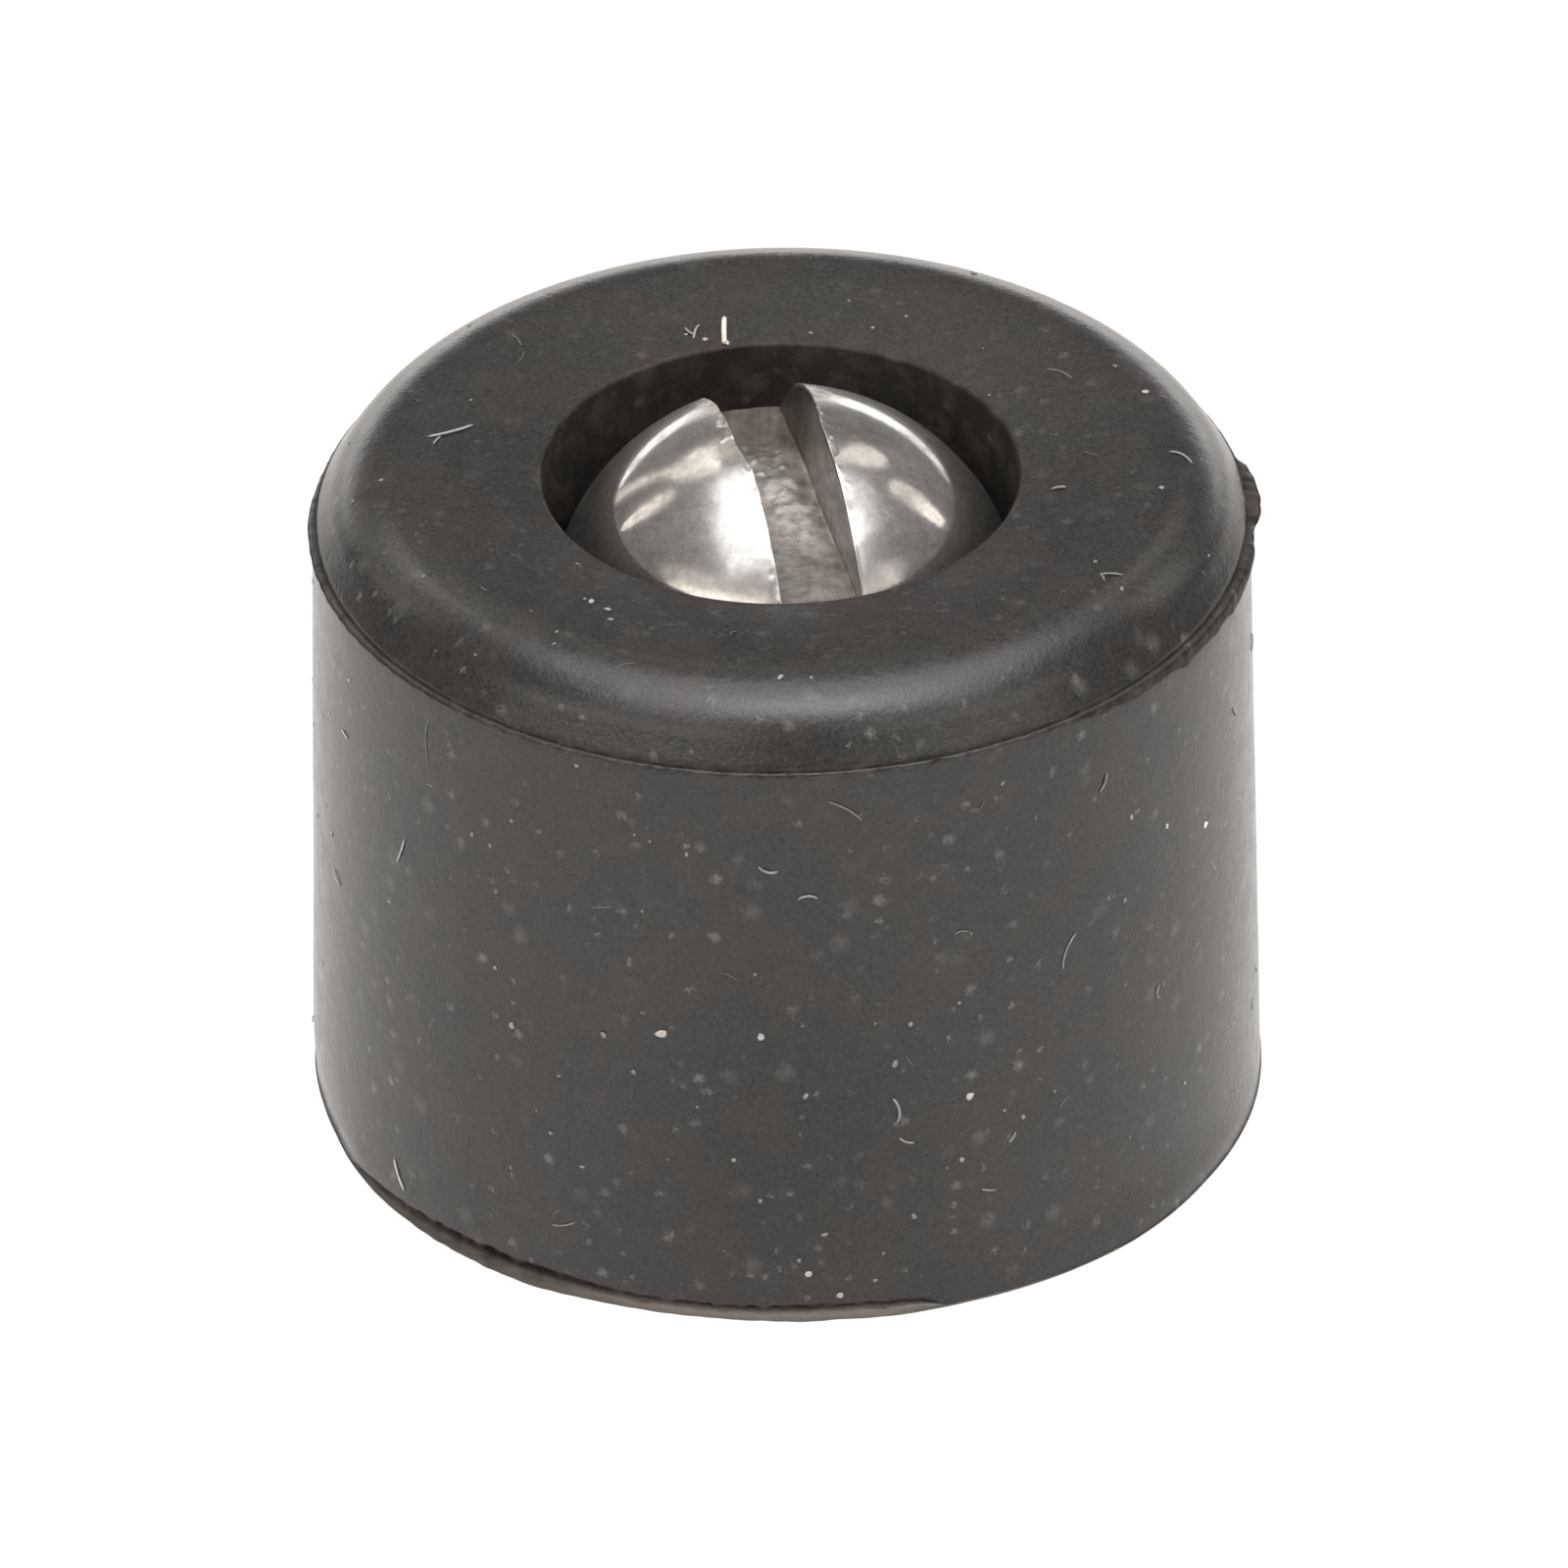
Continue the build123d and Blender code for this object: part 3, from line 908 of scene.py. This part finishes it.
def screw_shank(material):
    """The threaded shank: radius = outer radius - depth * tooth(z / pitch - angle / 360), and closed ends.

    The tooth is a clipped triangle wave, so crest and root are flat. It fades out under the head.
    """
    around, rows = 96, 620
    theta = np.linspace(0, 2 * np.pi, around, endpoint=False)
    z = np.linspace(0, head_seat_height, rows)
    zz, tt = np.meshgrid(z, theta, indexing="ij")
    phase = (zz / thread_pitch - tt / (2 * np.pi)) % 1
    tooth = np.clip(np.abs(phase - 0.5) * 2 * 1.35 - 0.12, 0, 1)
    fade = 1 - smooth(head_seat_height - 1.6, head_seat_height - 1.2, zz)
    radius = shank_radius - thread_depth * tooth * fade
    chamfer = shank_radius - tip_chamfer + np.minimum(zz, tip_chamfer)
    radius = np.minimum(radius, chamfer)
    body = np.stack([radius * np.cos(tt), radius * np.sin(tt), zz], -1)
    shrink = np.array([0.66, 0.33, 0.0])
    low = np.stack([body[0] * [k, k, 1] for k in shrink[::-1]])
    high = np.stack([body[-1] * [k, k, 1] for k in shrink])
    grid = np.concatenate([low, body, high])
    grid[..., :2] += screw_centre[:2]
    points = grid.reshape(-1, 3)
    faces = grid_faces(len(grid), around, False, True)
    flat = np.full(len(points), 0.4)
    values = {"worn": flat, "sawn_and_shaded": 0 * flat}
    piece = make_piece("screw_shank", points, faces, material, values=values)
    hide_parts(SCREW_NODE)
    return piece


# Camera: the photograph's angle, from far away with a long lens

PHOTO_SIZE = 1600
camera_elevation = math.radians(33.18)
camera_distance = 900.0
camera_aim_height = 8.62
camera_roll = math.radians(-0.587)
focal_pixels = 34618.8


def photo_camera():
    """A camera at the photograph's elevation, turned by its small roll, aimed on the foot's axis."""
    forward = Vector((0, math.cos(camera_elevation), -math.sin(camera_elevation)))
    level_right = Vector((1, 0, 0))
    level_up = level_right.cross(forward)
    right = math.cos(camera_roll) * level_right + math.sin(camera_roll) * level_up
    up = right.cross(forward)
    data = bpy.data.cameras.new("photo_camera")
    data.sensor_width = 36
    data.lens = focal_pixels / PHOTO_SIZE * data.sensor_width
    data.clip_start, data.clip_end = 0.05, 20
    camera = bpy.data.objects.new("photo_camera", data)
    bpy.context.scene.collection.objects.link(camera)
    place = Vector((0, 0, camera_aim_height * MM)) - forward * camera_distance * MM
    turn = Matrix((right, up, -forward)).transposed().to_4x4()
    camera.matrix_world = Matrix.Translation(place) @ turn
    bpy.context.scene.camera = camera


# Studio: a white table, a soft box overhead, and pale cards round the object

def white_floor():
    """A plain white table: white to the camera; in reflections a glow with painted shadow close to the object
    and in front of it, and a painted fade far off except behind the object.
    """
    mesh = bpy.data.meshes.new("table")
    half = 3.0
    corners = [(-half, -half, 0), (half, -half, 0), (half, half, 0), (-half, half, 0)]
    mesh.from_pydata(corners, [], [(0, 1, 2, 3)])
    floor = bpy.data.objects.new("table", mesh)
    bpy.context.scene.collection.objects.link(floor)
    floor.location.z = -0.00002
    material, tree, shader, add = new_material("white_table")
    shader.inputs["Base Color"].default_value = (0.86, 0.86, 0.86, 1)
    shader.inputs["Roughness"].default_value = 0.9
    shader.inputs["Specular IOR Level"].default_value = 0.0
    path = add("ShaderNodeLightPath")
    camera = path.outputs["Is Camera Ray"]
    place = add("ShaderNodeTexCoord").outputs["Object"]
    reach = add("ShaderNodeVectorMath", {0: place}, operation="LENGTH").outputs["Value"]
    # Painted contact shadow: the glow dims close to the base, and more in a patch in front of the object
    under = ranged(add, reach, base_radius * MM, base_radius * MM + 0.0015, 0.96, 1.0)
    front = add("ShaderNodeVectorMath", {0: place, 1: (0, -0.0215, 0)}, operation="DISTANCE").outputs["Value"]
    under = product(add, under, ranged(add, front, 0.002, 0.013, 0.76, 1.0))
    # Painted falloff: far off the glow fades, except behind the object, where it grows brighter
    far = ranged(add, reach, 0.15, 0.40, 1.0, 0.25)
    parts = add("ShaderNodeSeparateXYZ", {0: place})
    wide = product(add, arithmetic(add, "ABSOLUTE", parts.outputs[0], 0.0), 1.33)
    behind = ranged(add, arithmetic(add, "SUBTRACT", parts.outputs[1], wide), 0.02, 0.06, 0.0, 1.9)
    far = arithmetic(add, "MAXIMUM", far, product(add, behind, ranged(add, reach, 0.15, 0.30)))
    lit = product(add, product(add, under, far), 1.22)
    strength = ranged(add, camera, 0.0, 1.0, lit, 1.03)
    warmth = blend_colour(add, camera, (1.0, 0.955, 0.915, 1), (1.0, 1.0, 1.0, 1))
    glow = add("ShaderNodeEmission", {"Color": warmth, "Strength": strength})
    share = arithmetic(add, "MAXIMUM", product(add, path.outputs["Is Glossy Ray"], 0.93), camera)
    mixed = add("ShaderNodeMixShader", {0: share, 1: shader.outputs[0], 2: glow.outputs[0]})
    connect(tree, tree.nodes["Material Output"], {"Surface": mixed.outputs[0]})
    mesh.materials.append(material)


# Each card lies where all its lines a * u + b * v + c are positive, where (u, v) is the place to the right
# and to the back at which a way upwards meets a ceiling one unit up. Then its softness, colour and level.
GLOW_WHITE = (1.0, 0.995, 0.985)
WARM = (1.0, 0.93, 0.85)
ROOM_LEVEL = 0.20


def between(ends):
    """The lines of a convex card from its corners in (u, v), which run anticlockwise."""
    lines = []
    for (u0, v0), (u1, v1) in zip(ends, ends[1:] + ends[:1]):
        length = math.hypot(u1 - u0, v1 - v0)
        a, b = -(v1 - v0) / length, (u1 - u0) / length
        lines.append((a, b, -a * u0 - b * v0))
    return lines


def studio_cards():
    """The cards, each over those before it: backdrop, front cards, strips, patches and the soft box."""
    return [
        ([(-0.10, 1, -7.8), (1, 0.88, 0), (-1, 0.86, 0)], 2.6, GLOW_WHITE, 2.4),
        ([(0.60, -0.80, -1.10), (1, 0.466, -0.1), (-0.268, -1, -0.25), (-0.60, 0.80, 6.0)], 0.6, WARM, 0.90),
        ([(-0.60, -0.80, -1.10), (-1, 0.466, -0.1), (0.268, -1, -0.15), (0.60, 0.80, 6.0)], 0.6, WARM, 0.60),
        ([(-0.42, -0.90, -0.85), (-1, 0, -0.20), (0.42, 0.90, 1.40), (1, 0, 1.70)], 0.22, WARM, 1.25),
        ([(-0.42, -0.90, -1.14), (-1, 0, -0.20), (0.42, 0.90, 1.50), (1, 0, 1.75)], 0.08, WARM, 2.8),
        ([(0.42, -0.90, -0.80), (1, 0, -0.40), (-0.42, 0.90, 1.45), (-1, 0, 1.60)], 0.22, GLOW_WHITE, 1.35),
        ([(0.42, -0.90, -0.98), (1, 0, -0.40), (-0.42, 0.90, 1.40), (-1, 0, 1.60)], 0.10, WARM, 2.2),
        (between([(-0.60, 0.72), (0.15, 0.72), (0.25, 1.30), (-0.85, 1.42)]), 0.35, WARM, 0.70),
        (between([(-0.46, 0.56), (-0.50, 0.80), (-0.60, 1.20), (-0.74, 1.32), (-0.96, 1.36), (-1.25, 1.25),
                  (-0.90, 0.74), (-0.62, 0.58)]), 0.08, WARM, 2.15),
        (between([(-1.24, 1.23), (-1.14, 1.33), (-5.88, 6.82), (-6.40, 6.34)]), 0.05, WARM, 1.9),
        (between([(0.36, 0.56), (0.67, 0.73), (0.92, 1.03), (0.99, 1.34), (0.79, 1.37), (0.64, 1.31),
                  (0.38, 0.75)]), 0.10, WARM, 1.4),
        (between([(-0.99, 0.64), (-1.13, 0.84), (-2.73, 1.67), (-3.25, 1.78), (-2.40, 1.19), (-1.56, 0.74),
                  (-1.11, 0.60)]), 0.06, WARM, 2.1),
        (between([(0.98, 0.57), (1.62, 0.74), (2.45, 1.12), (2.85, 1.66), (1.98, 1.32), (1.36, 1.06),
                  (1.02, 0.86), (0.95, 0.72)]), 0.06, WARM, 2.3),
        (between([(-0.80, -0.86), (1.02, -0.84), (0.92, 0.55), (-0.80, 0.55)]), 0.42, GLOW_WHITE, 0.45),
        (between([(-0.62, -0.72), (0.84, -0.66), (0.70, 0.50), (-0.58, 0.52)]), 0.25, GLOW_WHITE, 1.6),
        (between([(-0.58, -0.52), (0.74, -0.42), (0.60, 0.38), (-0.48, 0.32)]), 0.22, GLOW_WHITE, 3.0),
        (between([(-0.15, -0.42), (0.34, -0.42), (0.34, -0.04), (-0.15, -0.04)]), 0.20, GLOW_WHITE, 6.2),
    ]


def studio_world():
    """The room: white to the camera, and for light and reflections grey, with soft-edged cards over it."""
    world = bpy.data.worlds.new("studio")
    bpy.context.scene.world = world
    world.use_nodes = True
    tree = world.node_tree
    tree.nodes.clear()
    add = node_adder(tree)
    way = add("ShaderNodeTexCoord").outputs["Generated"]
    parts = add("ShaderNodeSeparateXYZ", {0: way})
    lowest_rise = 0.004
    rise = arithmetic(add, "MAXIMUM", parts.outputs["Z"], lowest_rise)
    rises = add("ShaderNodeCombineXYZ", {0: rise, 1: rise, 2: rise}).outputs[0]
    scaled = vectors(add, "DIVIDE", way, rises)
    flat = add("ShaderNodeSeparateXYZ", {0: scaled})
    place = add("ShaderNodeCombineXYZ", {0: flat.outputs[0], 1: flat.outputs[1], 2: 1.0}).outputs[0]
    colour = (ROOM_LEVEL, 0.975 * ROOM_LEVEL, 0.95 * ROOM_LEVEL, 1)
    for lines, softness, tint, level in studio_cards():
        inside = None
        for line in lines:
            side = add("ShaderNodeVectorMath", {0: place, 1: line}, operation="DOT_PRODUCT").outputs["Value"]
            ends = {0: side, 1: -softness / 2, 2: softness / 2}
            edge = add("ShaderNodeMapRange", ends, interpolation_type="SMOOTHSTEP").outputs[0]
            inside = edge if inside is None else product(add, inside, edge)
        colour = blend_colour(add, inside, colour, tuple(level * c for c in tint) + (1,))
    room = add("ShaderNodeBackground", {"Color": colour})
    white = add("ShaderNodeBackground", {"Color": (1, 1, 1, 1)})
    seen = add("ShaderNodeLightPath").outputs["Is Camera Ray"]
    mixed = add("ShaderNodeMixShader", {0: seen, 1: room.outputs[0], 2: white.outputs[0]})
    add("ShaderNodeOutputWorld", {"Surface": mixed.outputs[0]})
    world.cycles.sampling_method = "MANUAL"
    world.cycles.sample_map_resolution = 2048


rubber = rubber_material()
steel = steel_material()
rubber_foot(rubber)
screw_head(steel)
screw_shank(steel)
dust = dust_material()
settled_dust(dust)
stray_fibres(dust)
photo_camera()
white_floor()
studio_world()

bpy.context.scene.view_settings.view_transform = "Standard"
